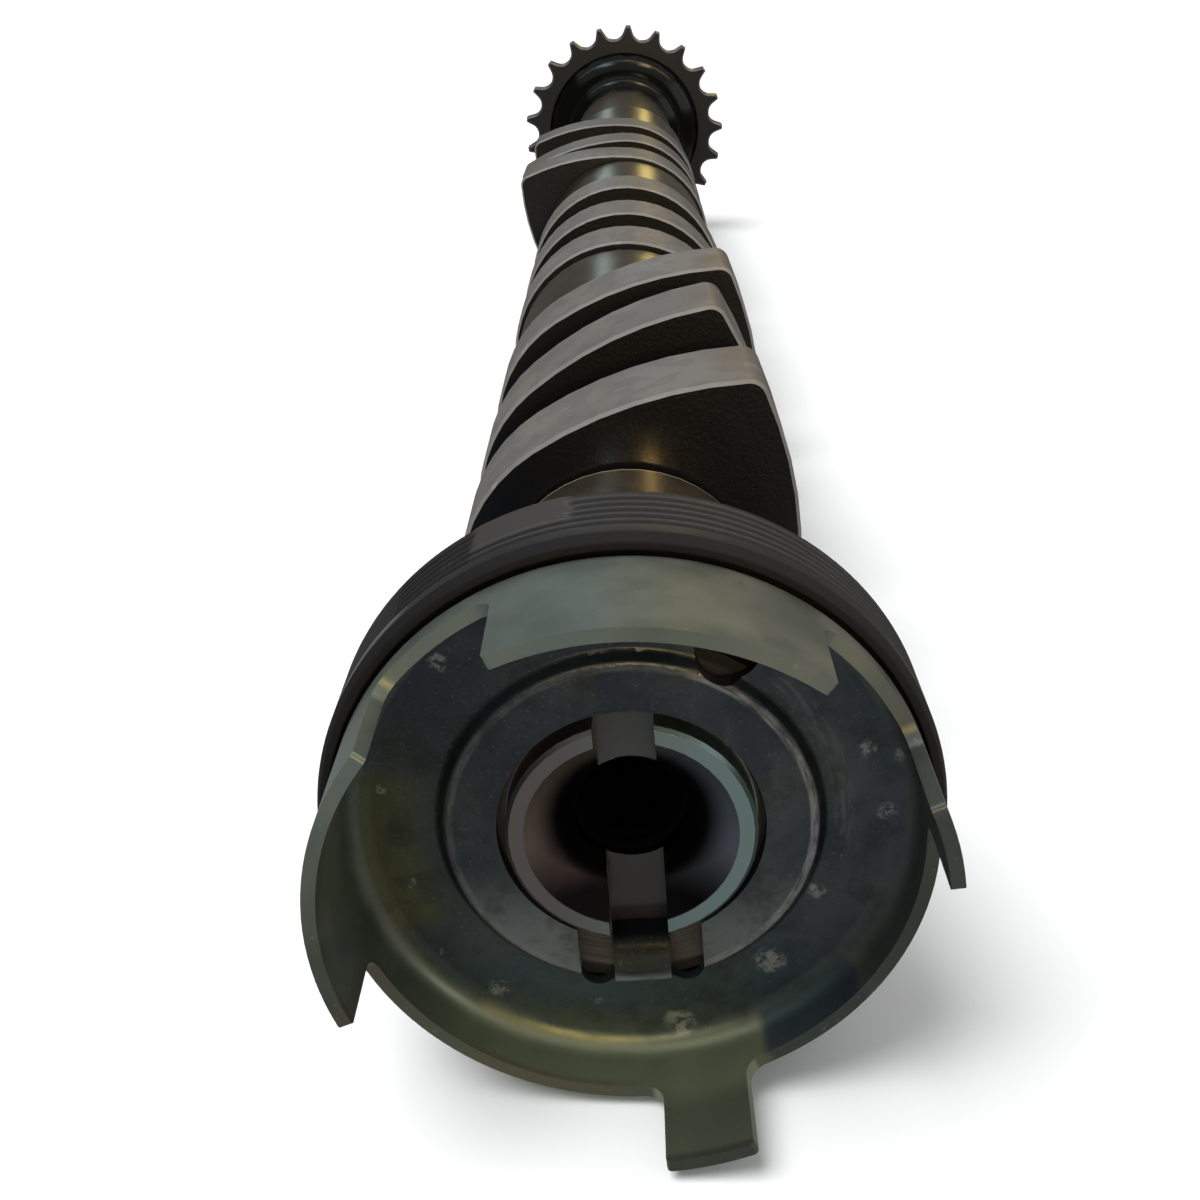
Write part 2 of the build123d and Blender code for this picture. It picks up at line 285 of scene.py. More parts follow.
def grid_faces(rows, columns, closed_rows):
    """The four-sided faces of a grid of points whose columns run round; its rows may do so too."""
    row, column = np.meshgrid(np.arange(rows if closed_rows else rows - 1), np.arange(columns), indexing="ij")
    next_row = (row + 1) % rows
    next_column = (column + 1) % columns
    corners = (row, column), (row, next_column), (next_row, next_column), (next_row, column)
    return np.stack([r * columns + c for r, c in corners], axis=-1).reshape(-1, 4)


def rounded_copy(name, node, edge, finish, slot):
    """A node's solid with its triangles joined at their corners and its sharp edges rounded."""
    source = frame["nodes"][node].data
    corners = np.empty(len(source.vertices) * 3)
    source.vertices.foreach_get("co", corners)
    corners = corners.reshape(-1, 3) / MM
    triangles = np.empty(len(source.loops), int)
    source.loops.foreach_get("vertex_index", triangles)
    cells = np.round(corners / WELD).astype(int)
    _, first, places = np.unique(cells, axis=0, return_index=True, return_inverse=True)
    faces = places.reshape(-1)[triangles].reshape(-1, 3)
    whole = (faces != np.roll(faces, 1, axis=1)).all(axis=1)
    piece = make_piece(name, corners[first], faces[whole], finish, slot, node)
    bevel = piece.modifiers.new("rounded edges", "BEVEL")
    bevel.width = edge * MM
    bevel.segments = EDGE_STEPS
    bevel.limit_method = "ANGLE"
    bevel.angle_limit = SHARP_ANGLE
    bevel.harden_normals = True
    return piece


# ================================================================ finishes
def shaft_finish():
    """Iron under a dark oily phosphate, with ground lobes and journals and a turned spigot; painted
    highlights on some edges, and painted reflections and painted shade in and about the bore.
    """
    f = Finish("phosphated_and_ground_iron")
    facing = abs(f.normal_y)

    # The ground and turned places, which are bare iron.
    lobes = facing.rise(0.9, 0.8) * f.radius.rise(LOBE_BASE_R - 0.45, LOBE_BASE_R - 0.35)
    lobes = lobes * f.y.rise(LAST_LOBE_END + 8, LAST_LOBE_END + 6)
    lobe_edge_highlight = lobes * facing.band(0.35, 0.85, 0.05)
    journals = facing.rise(0.5, 0.4) * f.radius.band(JOURNAL_R - 0.65, JOURNAL_R + 0.25, 0.05)
    spigot = f.radius.rise(SPIGOT_R + 0.2, SPIGOT_R + 0.1) * f.y.rise(SHOULDER_FACE + 0.2, SHOULDER_FACE)
    cone = spigot * facing.rise(0.95, 0.85) * f.radius.rise(BORE_CONE_R + 0.1, BORE_CONE_R - 0.1)
    bore = f.radius.rise(BORE_R + 1.2, BORE_R + 0.9) * facing.rise(0.95, 0.85)
    bore = bore * f.y.band(SHOULDER_FACE - 0.6, BORE_DEPTH + 10, 0.2)
    throat = (cone * f.radius.rise(6.2, 5.2)).most(bore)
    bare = lobes.most(journals).most(spigot).most(bore)

    # The places under phosphate; the front of the shaft is wet with oil.
    wet = f.y.rise(60, 50)
    shoulder = f.radius.rise(SPIGOT_R + 0.1, SPIGOT_R + 0.3)
    shoulder = shoulder * f.y.rise(SHOULDER_FACE + 0.3, SHOULDER_FACE + 0.1)
    slot = facing.rise(0.9, 0.97) * f.y.band(SHOULDER_FACE + 0.4, SHOULDER_FACE + 3, 0.1)
    # Painted highlight: a golden line along the front neck's rounded end, as the light its rounding catches.
    neck_edge_highlight = f.y.band(FRONT_NECK_END - 0.25, FRONT_NECK_END + 0.1, 0.06)
    neck_edge_highlight = neck_edge_highlight * f.radius.rise(FRONT_NECK_R + 1, FRONT_NECK_R + 0.5)
    lobe_faces = facing.rise(0.6, 0.9) * f.y.band(SHOULDER_FACE + 20, LAST_LOBE_END + 8, 1)
    rear = f.y.rise(COLLAR_START - 20, COLLAR_START - 5)
    teeth = f.radius.rise(SPROCKET_FLARE_R - 0.4, SPROCKET_FLARE_R)
    teeth = teeth * f.y.rise(SPROCKET_FACE - 1, SPROCKET_FACE - 0.5)
    tooth_bevels = teeth * facing.band(0.35, 0.93, 0.04)

    # Marks that run round the axis, along it, or neither way.
    lines = f.noise(4.0, 2.0, 0.6, f.join(f.y * 6.0, f.turn * 3.0, 0.0))
    turned = f.noise(3.0, 2.0, 0.6, f.join(f.radius * 4.0, f.turn * 0.5, 0.0))
    rings = f.noise(1.1, 2.0, 0.6, f.join(f.y, 0.0, 0.0))
    facets = f.noise(2.2, 1.0, 0.4, f.join(f.y * 0.12, f.turn * 3.0, 0.0))
    scratches = f.noise(3.0, 1.0, 0.4, f.join(f.y * 0.5, f.radius * f.turn * 0.16, 0.0)).rise(0.66, 0.74)
    mottle = f.noise(0.25, 4.0)
    patches = f.noise(0.09, 2.0, 0.4)
    grain = f.noise(2.2, 3.0, 0.6)

    phosphate = f.mix(mottle.rise(0.3, 0.7), (0.012, 0.009, 0.006), (0.024, 0.018, 0.011))
    phosphate = f.mix(lobe_faces, phosphate, (0.034, 0.037, 0.046))
    # Painted shade: the slot's floor is painted near black below the axis and lighter above it.
    phosphate = f.mix(slot, phosphate, f.mix(f.z.rise(-2, 2), (0.004, 0.005, 0.009), (0.022, 0.026, 0.028)))
    phosphate = f.mix(rear, phosphate, f.mix(teeth, (0.026, 0.028, 0.026), (0.022, 0.0235, 0.027)))

    ground = f.mix(patches.rise(0.4, 0.62), (0.155, 0.146, 0.136), (0.185, 0.174, 0.162))
    tan = f.radius.rise(LOBE_NOSE_REACH - 2.6, LOBE_NOSE_REACH - 0.6) * f.noise(0.3).rise(0.35, 0.6)
    ground = f.mix(tan * 0.6, ground, (0.17, 0.12, 0.075))
    ground = f.mix(facets.rise(0.48, 0.56) * 0.45, ground, (0.125, 0.118, 0.113))
    last_group = f.y.rise(LAST_GROUP_START - 5.9, LAST_GROUP_START + 14.1)
    ground = f.mix(last_group * 0.7, ground, (0.105, 0.10, 0.097))
    ground = f.mix(scratches * grain.rise(0.42, 0.56) * 0.6, ground, (0.36, 0.36, 0.35))
    # Painted highlight: the ground chamfers on the lobes' edges are painted lighter than the bands, as a
    # bright edge line.
    ground = f.mix(lobe_edge_highlight * 0.4, ground, (0.28, 0.27, 0.25))

    journal = f.mix(mottle.rise(0.3, 0.7), (0.19, 0.165, 0.125), (0.25, 0.225, 0.18))
    journal = f.mix(rings.rise(0.45, 0.62) * 0.7, journal, (0.11, 0.105, 0.075))

    # Painted reflection: the turned face of the spigot is pinkish grey on the left and pale blue on the
    # right.
    rim = f.mix(f.x.rise(-7, 7), (0.20, 0.19, 0.20), (0.30, 0.42, 0.44))
    # Painted reflection: the cone into the bore is reddish on the left and blue on the right.
    hollow = f.mix(f.x.rise(-5, 5), (0.32, 0.25, 0.23), (0.25, 0.29, 0.38))
    # Painted shade: the cone goes near black at the bottom and towards the bore.
    hollow = f.mix(f.z.rise(-1, -6).most(f.radius.rise(7.6, 5.4)), hollow, (0.012, 0.012, 0.015))

    brown = f.mix(turned.rise(0.35, 0.65), (0.03, 0.022, 0.016), (0.075, 0.060, 0.042))
    # Painted shade: the shoulder face is near black from the wheel's boss outwards, where the wheel's disc
    # covers it.
    brown = f.mix(f.radius.rise(BOSS_R - 0.05, BOSS_R + 0.35), brown, (0.004, 0.004, 0.004))

    colour = f.mix(lobes, phosphate, ground)
    colour = f.mix(journals, colour, journal)
    colour = f.mix(spigot, colour, f.mix(cone, rim, hollow))
    colour = f.mix(shoulder, colour, brown)
    colour = f.mix(neck_edge_highlight * 0.7, colour, (0.26, 0.215, 0.14))
    # Painted shade: the inner cone and the bore are painted near black, as the shade deep in the hole.
    colour = f.mix(throat, colour, (0.004, 0.004, 0.005))
    colour = f.mix(tooth_bevels * 0.8, colour, (0.12, 0.12, 0.125))

    roughness = f.blend(mottle, 0.42, 0.55)
    roughness = f.blend(lobes, roughness, 0.5)
    roughness = f.blend(journals, roughness, 0.28)
    roughness = f.blend(spigot, roughness, 0.42)
    roughness = f.blend(facing.rise(0.8, 0.95) * (1 - spigot), roughness, 0.7)
    roughness = f.blend(lobe_faces, roughness, 0.42)
    roughness = f.blend(rear, roughness, f.blend(teeth, 0.17, 0.35))
    roughness = f.blend(throat, roughness, 0.7)

    # The lobes' faces and the rear are darker than any clear surface, so they are dark metal.
    metal = (bare * (1 - lobes * 0.6)).most(lobe_faces).most(rear * (1 - teeth * 0.35))
    oil = (0.25 + 0.75 * wet) * (1 - bare) * (1 - rear) * (1 - shoulder) * (1 - 0.25 * lobe_faces)
    cast = f.bump(grain * (1 - bare) * (1 - rear * 0.9), 0.05)
    return f.set(
        Base_Color=colour,
        Metallic=metal,
        Roughness=roughness,
        Coat_Weight=oil,
        Coat_Roughness=0.14,
        Normal=f.bump(lines * bare + turned * shoulder, 0.006, cast),
    )


def disc_places(polar):
    """Points on the front of the wheel's disc from (radius, angle in degrees)."""
    return [(r * math.cos(math.radians(a)), DISC_FRONT, r * math.sin(math.radians(a))) for r, a in polar]


# Dried drops on the wheel's disc, as (radius, angle in degrees).
BLOOMS = [(19.3, 136.7), (18.6, 237.4), (20.8, 17.9), (18.4, 21.4), (19.1, 4.5), (15.4, 337.9)]
LARGE_BLOOMS = [(16.8, 311.4), (19.2, 282.7)]
SMALL_BLOOMS = [
    (18.9, 172.4), (19.3, 219.8), (21.2, 248.6), (21.2, 332.8), (21.2, 356.9), (17.0, 262.0), (17.6, 199.0),
]


def wheel_finish():
    """Pressed sheet, zinc plated, with a slate and olive passivate, water blooms and washer marks, and with
    painted light, painted shade and a painted reflection.
    """
    f = Finish("passivated_zinc_sheet")
    facing = abs(f.normal_y)
    wall = f.radius.rise(WHEEL_R - 2.2, WHEEL_R - 1.2)
    rim = wall * facing.rise(0.8, 0.95) * f.y.rise(DISC_FRONT - 2.0, DISC_FRONT - 2.4)
    disc = (1 - wall) * f.y.rise(DISC_FRONT + 0.3, DISC_FRONT + 0.1)
    boss = f.radius.rise(BOSS_R + 0.3, BOSS_R)
    tab = f.radius.rise(BOSS_R - 0.05, BOSS_R - 0.65) * f.toward(TAB_ANGLE, 11, 3)
    blade_tips = f.y.rise(BLADE_TIP + 0.9, BLADE_TIP + 0.3)
    low_wall = f.z.rise(-9, -18)
    cloud = f.noise(0.16, 4.0).rise(0.32, 0.68)
    speck = f.noise(1.4, 3.0, 0.65)
    streak = f.noise(1.0, 3.0, 0.6, f.join(f.radius * 3.0, f.turn * 5.0, 0.0))
    fine = f.noise(4.0, 2.0, 0.6)

    # The slate of the disc, its boss and the tab, with painted shade on the tab and a painted lit wedge on
    # the left.
    slate = f.mix(cloud, (0.050, 0.063, 0.076), (0.080, 0.096, 0.108))
    slate = f.mix(f.toward(125, 25, 30) * 0.45, slate, (0.030, 0.036, 0.050))
    slate = f.mix(f.z.rise(-8, -17) * 0.6, slate, (0.070, 0.105, 0.105))
    slate = f.mix(f.toward(180, 28, 20) * 0.3, slate, (0.035, 0.040, 0.035))
    slate = f.mix(boss * f.z.rise(-3, -11) * 0.8, slate, (0.23, 0.255, 0.25))
    # Painted shade: the tab that bends into the shaft's slot is painted dark, near black at its inner end.
    tab_painted_shade = f.mix(f.radius.rise(11.4, 12.2), (0.004, 0.007, 0.009), (0.026, 0.034, 0.038))
    slate = f.mix(tab * 0.95, slate, tab_painted_shade)
    # Painted light: a pale olive wedge on the left of the disc, as light falling on it.
    painted_light_wedge = f.radius.rise(14.4, 17.8) * f.toward(190, 17, 9)
    slate = f.mix(painted_light_wedge * 0.8, slate, (0.095, 0.105, 0.052))

    # The olive of the wall and its blades, which differs from blade to blade, with painted shade on the
    # right, painted light on the bottom wall and a painted reflection low on the right.
    olive = f.mix(cloud, (0.19, 0.225, 0.19), (0.25, 0.28, 0.24))
    # Painted shade: the wall and blades on the right are painted darker.
    olive = f.mix(f.toward(0, 38, 10) * 0.85, olive, (0.085, 0.095, 0.095))
    olive = f.mix(f.toward(125, 22, 20) * 0.6, olive, (0.28, 0.35, 0.33))
    olive = f.mix(f.toward(55, 18, 15) * 0.6, olive, (0.33, 0.345, 0.29))
    # Painted light: the bottom wall is painted a lighter olive, as the light falling on it from above.
    olive = f.mix(low_wall * 0.8, olive, (0.37, 0.42, 0.27))
    olive = f.mix(f.y.rise(-3.0, -6.0) * low_wall * 0.6, olive, (0.15, 0.18, 0.14))
    olive = f.mix(blade_tips * f.z.rise(-5, -9) * 0.7, olive, (0.10, 0.11, 0.10))
    # Painted reflection: a dark blue wedge low on the right of the wall, as the reflection of a shaded place.
    olive = f.mix(f.toward(-47, 11, 3) * 0.8, olive, (0.05, 0.085, 0.125))
    colour = f.mix(wall, slate, olive)
    # Painted shade: the wall's front rim is painted darker, most at the bottom.
    colour = f.mix(rim * (0.2 + 0.5 * f.z.rise(5, -5)), colour, (0.07, 0.075, 0.062))

    # What use has left: rubbed rings, soil, dried drops with dark hearts, and a stain.
    worn = f.radius.band(BOSS_R - 0.65, BOSS_R, 0.12) * streak.rise(0.3, 0.6)
    worn = worn * (0.25 + 0.75 * f.toward(5, 62, 12))
    scuff = f.radius.band(15.2, 16.6, 0.4) * f.toward(22, 24, 8) * streak.rise(0.42, 0.62)
    marks = (worn * 0.8).most(scuff * 0.13) * disc
    colour = f.mix(marks, colour, (0.36, 0.37, 0.37))
    soil = f.noise(0.35, 5.0, 0.65).rise(0.45, 0.68) * disc
    colour = f.mix(soil * 0.5, colour, (0.030, 0.036, 0.036))
    loose = f.warped(0.9, 1.5)
    bloom = loose.near(disc_places(BLOOMS), 0.35, 0.55).most(loose.near(disc_places(SMALL_BLOOMS), 0.15, 0.4))
    bloom = bloom.most(loose.near(disc_places(LARGE_BLOOMS), 0.8, 0.7)) * speck.rise(0.38, 0.6)
    colour = f.mix(bloom * 0.72, colour, (0.36, 0.39, 0.38))
    heart = f.warped(0.9, 0.6).near(disc_places(BLOOMS + SMALL_BLOOMS), 0.06, 0.16)
    colour = f.mix(heart * 0.6, colour, (0.06, 0.045, 0.035))
    low_edge = wall * f.y.rise(-1.9, -2.6) * f.toward(236, 32, 6)
    colour = f.mix(low_edge * cloud * 0.5, colour, (0.20, 0.15, 0.09))
    colour = f.mix(speck.rise(0.62, 0.75) * wall * 0.4, colour, (0.36, 0.40, 0.37))
    colour = f.mix(fine.rise(0.60, 0.74) * disc * 0.25, colour, (0.20, 0.22, 0.22))
    return f.set(
        Base_Color=colour,
        Metallic=0.9,
        Roughness=f.blend(cloud, 0.36, 0.50).most(bloom * 0.7),
        Normal=f.bump(fine, 0.008),
    )


def rubber_finish():
    """Black moulded rubber with a faint bloom, a smear of sealant and a dark wiped place beside it, with
    painted shade on its front and in its grooves, and painted highlights on its ribs and front taper.
    """
    f = Finish("seal_rubber_moulded")
    cloud = f.noise(0.2, 4.0)
    bloom = f.noise(0.6, 5.0, 0.7)
    outside = f.radius.rise(SEAL_R - 0.6, SEAL_R - 0.2)
    ribbed = outside * f.y.rise(SEAL_FRONT + 2.0, SEAL_FRONT + 2.6)
    # 1 at the bottom of a groove and -1 on the crest of a rib.
    wave = ((f.y - SEAL_FRONT - FIRST_GROOVE) * (2 * math.pi / RIB_PITCH)).math("COSINE")
    nose = f.normal_y.rise(-0.55, -0.85).most(f.y.rise(SEAL_FRONT + 1.5, SEAL_FRONT + 1.0))
    smear = f.toward(SMEAR_ANGLE, SMEAR_HALF - 1.5, 2.0) * outside
    smear = smear * f.y.rise(SMEAR_START - 0.3, SMEAR_START + 0.5)
    # Painted highlight: a pale sheen along the front taper on the upper left.
    painted_sheen = f.toward(147, 8, 7) * f.y.band(SEAL_FRONT + 1.6, SEAL_FRONT + 2.6, 0.5) * outside
    wiped = f.toward(129, 8, 1.5) * f.y.rise(3.0, 3.8) * outside
    rust = f.toward(122, 2.5, 2.5) * f.y.band(4.9, 5.6, 0.5) * bloom.rise(0.45, 0.65)
    colour = f.mix(cloud, (0.008, 0.008, 0.009), (0.015, 0.015, 0.017))
    colour = f.mix(bloom.rise(0.5, 0.8) * 0.3, colour, (0.045, 0.045, 0.048))
    # Painted shade and highlight: the bottoms of the ribs' grooves are painted near black and their crests
    # lighter.
    colour = f.mix(wave.rise(0.0, 0.9) * ribbed, colour, (0.003, 0.003, 0.0035))
    colour = f.mix(wave.rise(-0.3, -1.0) * ribbed * 0.45, colour, (0.032, 0.031, 0.033))
    colour = f.mix(smear, colour, (0.030, 0.028, 0.027))
    # Painted shade: the seal's front face and its front edge are painted near black.
    colour = f.mix(nose, colour, (0.0028, 0.003, 0.0045))
    colour = f.mix(wiped * 0.7, colour, (0.005, 0.005, 0.006))
    colour = f.mix(rust * 0.6, colour, (0.08, 0.045, 0.02))
    colour = f.mix(painted_sheen * 0.5, colour, (0.16, 0.16, 0.17))
    return f.set(
        Base_Color=colour,
        Roughness=f.blend(cloud, 0.42, 0.6).most(wiped * 0.75).most(nose * 0.8),
        Normal=f.bump(f.noise(3.0, 3.0), 0.012),
    )


def spring_finish():
    """Bright drawn wire with a little oil on it."""
    f = Finish("drawn_spring_wire")
    stain = f.noise(0.8, 3.0)
    return f.set(
        Base_Color=f.mix(stain, (0.45, 0.44, 0.42), (0.62, 0.61, 0.60)),
        Metallic=1.0,
        Roughness=f.blend(stain, 0.22, 0.35),
    )


def thread_finish():
    """Painted shade: near black and without gloss, for the dark deep in the tapped hole."""
    f = Finish("tapped_bore")
    return f.set(Base_Color=(0.002, 0.002, 0.003), Roughness=0.9, Specular_IOR_Level=0.0)


def floor_finish():
    """Plain pale floor."""
    f = Finish("pale_floor")
    return f.set(Base_Color=(0.84, 0.845, 0.85), Roughness=0.8)


# ================================================================ shaft and wheel
rounded_copy("camshaft_dressed", "camshaft", SHAFT_EDGE, shaft_finish(), "shaft_steel")
rounded_copy("trigger_wheel_dressed", "trigger_wheel", SHEET_EDGE, wheel_finish(), "plated_sheet")


def bore_thread():
    """A ridge that runs round inside the bolt bore and lines it.

    Its place along the bore is start + pitch x turns. Its height rises from a tenth to the whole over the
    first half turn, and falls again over the last one."""
    turns = (BORE_DEPTH - 1 - THREAD_START) / THREAD_PITCH
    steps = np.linspace(0, turns, int(turns) * THREAD_STEPS)[:, None]
    depth = THREAD_HEIGHT * np.clip(np.minimum(steps, steps[-1] - steps) / 0.5, 0.1, 1)
    # The ridge's section, as shares of its height inwards and of the pitch along the bore.
    inwards = np.array([-0.3, 0.1, 0.9, 1.0, 1.0, 0.9, 0.1, -0.3])[None, :]
    along = np.array([-0.5, -0.495, -0.1, -0.04, 0.04, 0.1, 0.495, 0.5])[None, :]
    turn = 2 * np.pi * steps
    out = BORE_R - inwards * depth
    y = THREAD_START + steps * THREAD_PITCH + along * THREAD_PITCH
    points = np.stack([out * np.cos(turn), y, out * np.sin(turn)], axis=-1).reshape(-1, 3)
    count, corners = len(steps), inwards.shape[1]
    first_end = tuple(range(corners))
    last_end = tuple(range(count * corners - 1, (count - 1) * corners - 1, -1))
    faces = [*map(tuple, grid_faces(count, corners, False)), first_end, last_end]
    return make_piece("bore_thread", points, faces, thread_finish(), "shaft_steel")


bore_thread()


# ================================================================ seal and its spring
def rounded_line(corners, radius, parts=4):
    """A closed line of (r, y) points with each corner cut by a curve that leaves it radius away.

    The curve is (1 - t)^2 start + 2t(1 - t) corner + t^2 end. Its ends lie on the corner's two sides, no
    further from the corner than 0.45 of the side."""
    corners = np.array(corners)
    line = []
    for before, corner, after in zip(np.roll(corners, 1, 0), corners, np.roll(corners, -1, 0)):
        ends = []
        for other in (before, after):
            length = np.linalg.norm(other - corner)
            ends.append(corner + (other - corner) * min(radius / length, 0.45))
        t = np.linspace(0, 1, parts)[:, None]
        line.append((1 - t) ** 2 * ends[0] + 2 * t * (1 - t) * corner + t**2 * ends[1])
    return np.concatenate(line)


def shaft_seal():
    """The seal's section turned about the axis, with round ribs and a smear of sealant over them.

    Over the ribs the outside is r = R - depth * (1/2 + 1/2 cos(2 pi (y - first groove) / pitch)). The smear
    moves r towards R + rise by the share 3m^2 - 2m^3. Its m falls from 1 to 0 over 2.5 degrees at both sides,
    which wave by half a degree along the seal, over 0.8 mm in front and over 0.6 mm behind."""
    first = SEAL_FRONT + FIRST_GROOVE
    last = first + (RIB_GROOVES - 1) * RIB_PITCH
    # Corners as (r, y): front rim, outside, rear rim, back of the web, arm with the spring's seat, lip,
    # dust lip, front of the web.
    section = rounded_line([
        (SEAL_R - RECESS_WALL, SEAL_FRONT), (SEAL_R - 0.35, SEAL_FRONT), (SEAL_R, SEAL_FRONT + 1.0),
        (SEAL_R, SEAL_BACK - 0.5), (SEAL_R - 0.5, SEAL_BACK), (SEAL_R - SEAL_WALL, SEAL_BACK),
        (SEAL_R - SEAL_WALL, WEB_BACK), (ARM_OUTER_R, WEB_BACK), (ARM_OUTER_R, LIP_Y - SEAT_MOUTH_HALF),
        (SEAT_R, LIP_Y - SEAT_HALF), (SEAT_R, LIP_Y + SEAT_HALF), (ARM_OUTER_R, LIP_Y + SEAT_MOUTH_HALF),
        (ARM_OUTER_R, ARM_END), (ARM_INNER_R, ARM_END), (LIP_R, LIP_Y), (ARM_INNER_R, ARM_ROOT),
        (LIP_R, WEB_BACK), (DUST_LIP_ROOT_R, WEB_FRONT), (SEAL_R - RECESS_WALL, WEB_FRONT),
    ], SEAL_EDGE)
    # The ribs take the place of the straight outside between the front taper and the rear edge.
    before_ribs = (section[:, 0] > SEAL_R - 0.1) & (section[:, 1] < first - RIB_PITCH / 2)
    taper_end = np.flatnonzero(before_ribs)[-1] + 1
    ribs = np.linspace(first - RIB_PITCH / 2, last + RIB_PITCH / 2, RIB_GROOVES * 10 + 1)
    wave = 0.5 + 0.5 * np.cos(2 * np.pi * (ribs - first) / RIB_PITCH)
    outside = np.stack([SEAL_R - RIB_DEPTH * wave, ribs], axis=-1)
    line = np.concatenate([section[:taper_end], outside, section[taper_end:]])
    r, y = line[None, :, 0], line[None, :, 1]
    turn = np.linspace(0, 2 * np.pi, SEAL_STEPS, endpoint=False)[:, None]

    off_middle = np.abs(np.degrees(turn) - SMEAR_ANGLE) + 0.5 * np.sin(y * 3.1)
    along = np.clip((y - SMEAR_START) / 0.8, 0, 1) * np.clip((SEAL_BACK + 0.1 - y) / 0.6, 0, 1)
    smear = np.clip((SMEAR_HALF - off_middle) / 2.5, 0, 1) * along * (r > SEAL_R - 0.55)
    smear = smear * smear * (3 - 2 * smear)
    r = r + (SEAL_R + SMEAR_RISE - r) * smear
    points = np.stack([r * np.cos(turn), y + 0 * turn, r * np.sin(turn)], axis=-1).reshape(-1, 3)
    faces = grid_faces(SEAL_STEPS, line.shape[0], True)
    return make_piece("shaft_seal_dressed", points, faces, rubber_finish(), "seal_rubber", "shaft_seal")


shaft_seal()


def garter_spring():
    """A wire whose centre goes round a small circle while that circle goes round the axis."""
    coil_r = SPRING_WIRE_RING_R - SPRING_WIRE_R
    steps = np.linspace(0, 2 * np.pi, SPRING_TURNS * 10, endpoint=False)[:, None]
    around = np.linspace(0, 2 * np.pi, 6, endpoint=False)[None, :]
    coil = steps * SPRING_TURNS
    # The wire's section lies along the small circle's own radius and along the way round the axis.
    small = coil_r + SPRING_WIRE_R * np.cos(around)
    out = SPRING_R + small * np.cos(coil)
    along = SPRING_Y + small * np.sin(coil)
    turn = steps + SPRING_WIRE_R * np.sin(around) / SPRING_R
    points = np.stack([out * np.cos(turn), along + 0 * turn, out * np.sin(turn)], axis=-1).reshape(-1, 3)
    faces = grid_faces(len(steps), around.shape[1], True)
    return make_piece("garter_spring", points, faces, spring_finish(), "spring_steel", "seal_spring")


garter_spring()

# ================================================================ floor, light and camera
FLOOR_HALF = 10000.0
FLOOR_FRONT = Vector((0.0, 5.5, -SEAL_R))
FLOOR_REAR = Vector((0.0, 400.0, shaft_low.z))


def floor():
    """A plane that touches the seal in front and the sprocket behind."""
    along = (FLOOR_REAR - FLOOR_FRONT).normalized() * FLOOR_HALF
    across = Vector((FLOOR_HALF, 0, 0))
    middle = (FLOOR_FRONT + FLOOR_REAR) / 2
    ways = (-along - across, -along + across, along + across, along - across)
    mesh = bpy.data.meshes.new("floor")
    mesh.from_pydata([(middle + way) * MM for way in ways], [], [(0, 1, 2, 3)])
    mesh.materials.append(floor_finish())
    plane = bpy.data.objects.new("floor", mesh)
    bpy.context.collection.objects.link(plane)
    plane.visible_glossy = False
    plane.visible_shadow = False


def lamp(name, light, place, axes):
    """Puts a light at a place in millimetres; it shines against the last of its three axes."""
    held = bpy.data.objects.new(name, light)
    held.matrix_world = Matrix.Translation(place * MM) @ axes.to_4x4()
    held.visible_camera = False
    bpy.context.collection.objects.link(held)
    return held


def direction(azimuth, elevation):
    """The way to a light: azimuth 0 is behind the sprocket, on +Y, and positive is to the right."""
    a, e = math.radians(azimuth), math.radians(elevation)
    return Vector((math.sin(a) * math.cos(e), math.cos(a) * math.cos(e), math.sin(e)))


def turned_to(way):
    """The axes of a light that shines against the way that leads to it."""
    return way.to_track_quat("Z", "Y").to_matrix()


def daylight(name, azimuth, elevation, spread, strength, colour):
    """A far light that brightens the floor and every dull surface, and leaves no gleam."""
    light = bpy.data.lights.new(name, "SUN")
    light.angle = math.radians(spread)
    light.energy = strength
    light.color = colour
    lamp(name, light, Vector((0, 0, 500)), turned_to(direction(azimuth, elevation))).visible_glossy = False


def panel(name, place, axes, size, glow, colour):
    """A flat light of size (width, height) that only glossy surfaces show, with its glow as the radiance."""
    light = bpy.data.lights.new(name, "AREA")
    light.shape = "RECTANGLE"
    light.size, light.size_y = (side * MM for side in size)
    light.energy = glow * math.pi * light.size * light.size_y
    light.color = colour
    lamp(name, light, place, axes).visible_diffuse = False


def softbox(name, place, way, size, glow, colour):
    """A panel that faces the part against the way that leads to it."""
    panel(name, Vector(place), turned_to(Vector(way)), size, glow, colour)


def window(name, foot, head, width, glow, colour):
    """A narrow upright panel from its foot to its head, behind the sprocket or ahead of the spigot."""
    foot, head = Vector(foot), Vector(head)
    upright = (head - foot).normalized()
    ahead = Vector((0, math.copysign(1, foot.y), 0))
    axes = Matrix((upright.cross(ahead), upright, ahead)).transposed()
    panel(name, (foot + head) / 2, axes, (width, (head - foot).length), glow, colour)


def world(colour, strength):
    """Even surroundings."""
    surroundings = bpy.data.worlds.new("surroundings")
    surroundings.use_nodes = True
    background = surroundings.node_tree.nodes["Background"]
    background.inputs["Color"].default_value = (*colour, 1)
    background.inputs["Strength"].default_value = strength
    bpy.context.scene.world = surroundings


CAMERA_PLACE = Vector((-1.62, -91.46, 61.45))
CAMERA_YAW, CAMERA_PITCH, CAMERA_ROLL = (math.radians(angle) for angle in (-0.54, 24.80, 0.56))
FOCAL_PIXELS = 1476.3
IMAGE_PIXELS = 1200
SENSOR = 36.0
NEAREST_SEEN = 5.0


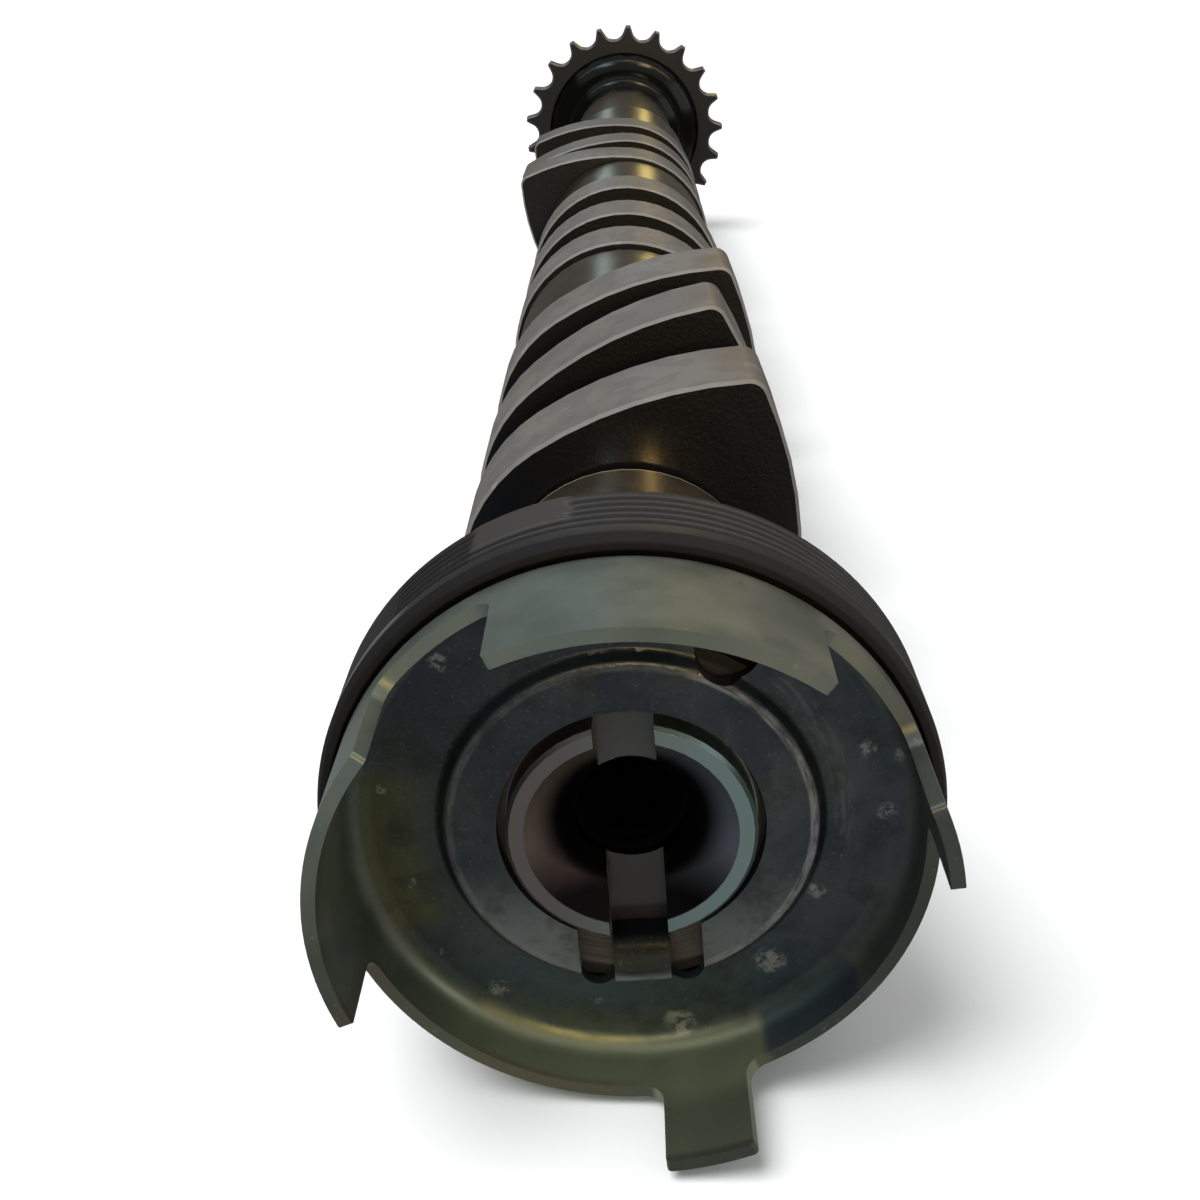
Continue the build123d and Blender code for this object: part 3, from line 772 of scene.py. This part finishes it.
def camera():
    """A camera close in front of the spigot, looking down along the shaft."""
    forward = Vector((
        math.sin(CAMERA_YAW) * math.cos(CAMERA_PITCH),
        math.cos(CAMERA_YAW) * math.cos(CAMERA_PITCH),
        -math.sin(CAMERA_PITCH),
    ))
    level = Vector((math.cos(CAMERA_YAW), -math.sin(CAMERA_YAW), 0))
    upright = level.cross(forward)
    right = math.cos(CAMERA_ROLL) * level + math.sin(CAMERA_ROLL) * upright
    up = math.cos(CAMERA_ROLL) * upright - math.sin(CAMERA_ROLL) * level
    lens = bpy.data.cameras.new("camera")
    lens.sensor_width = SENSOR
    lens.lens = SENSOR * FOCAL_PIXELS / IMAGE_PIXELS
    lens.clip_start = NEAREST_SEEN * MM
    eye = bpy.data.objects.new("camera", lens)
    axes = Matrix((right, up, -forward)).transposed()
    eye.matrix_world = Matrix.Translation(CAMERA_PLACE * MM) @ axes.to_4x4()
    bpy.context.collection.objects.link(eye)
    bpy.context.scene.camera = eye


# name, place, way that leads to it, size, glow, colour
SOFTBOXES = [
    ("ceiling", (0, 250, 1000), (0, -0.12, 1), (2300, 1900), 0.36, (1.0, 0.99, 0.97)),
    ("warm_tube", (400, 250, 990), (0.4, 0, 1), (60, 900), 7.0, (1.0, 0.72, 0.36)),
    ("cool_tube", (-400, 250, 990), (-0.4, 0, 1), (60, 900), 3.5, (0.78, 0.9, 1.0)),
    ("right_wall", (900, 0, 450), (1, 0, 0.3), (1200, 500), 0.8, (1.0, 0.98, 0.96)),
    ("bounce", (0, -300, -250), (0, 0, -1), (1600, 2400), 0.2, (0.92, 1.0, 1.0)),
    ("warm_spot", (331, 148, 934), (0.325, -0.245, 0.91), (240, 140), 10.0, (1.0, 0.72, 0.42)),
    ("cool_spot", (-318, 135, 940), (-0.31, -0.25, 0.92), (260, 140), 7.0, (0.62, 0.82, 1.0)),
]
# name, foot, head, width, glow, colour
WINDOWS = [
    ("warm_window", (66, 1300, 40), (205, 1300, 560), 60, 2.4, (1.0, 0.78, 0.26)),
    ("cool_window", (-66, 1300, 40), (-205, 1300, 560), 70, 1.0, (0.75, 0.95, 0.95)),
    ("warm_window_ahead", (60, -660, 150), (120, -660, 340), 46, 50.0, (1.0, 0.64, 0.2)),
    ("warm_window_above", (150, -660, 420), (205, -660, 600), 100, 3.0, (1.0, 0.66, 0.34)),
    ("cool_window_ahead", (-60, -660, 150), (-130, -660, 380), 60, 5.5, (0.85, 0.95, 1.0)),
]

floor()
daylight("key_daylight", azimuth=-125, elevation=60, spread=38, strength=3.2, colour=(1.0, 1.0, 1.0))
daylight("sky_daylight", azimuth=0, elevation=90, spread=175, strength=1.6, colour=(0.95, 0.98, 1.0))
for row in SOFTBOXES:
    softbox(*row)
for row in WINDOWS:
    window(*row)
world(colour=(1.0, 0.95, 0.88), strength=0.12)
camera()
bpy.context.scene.view_settings.view_transform = "Standard"
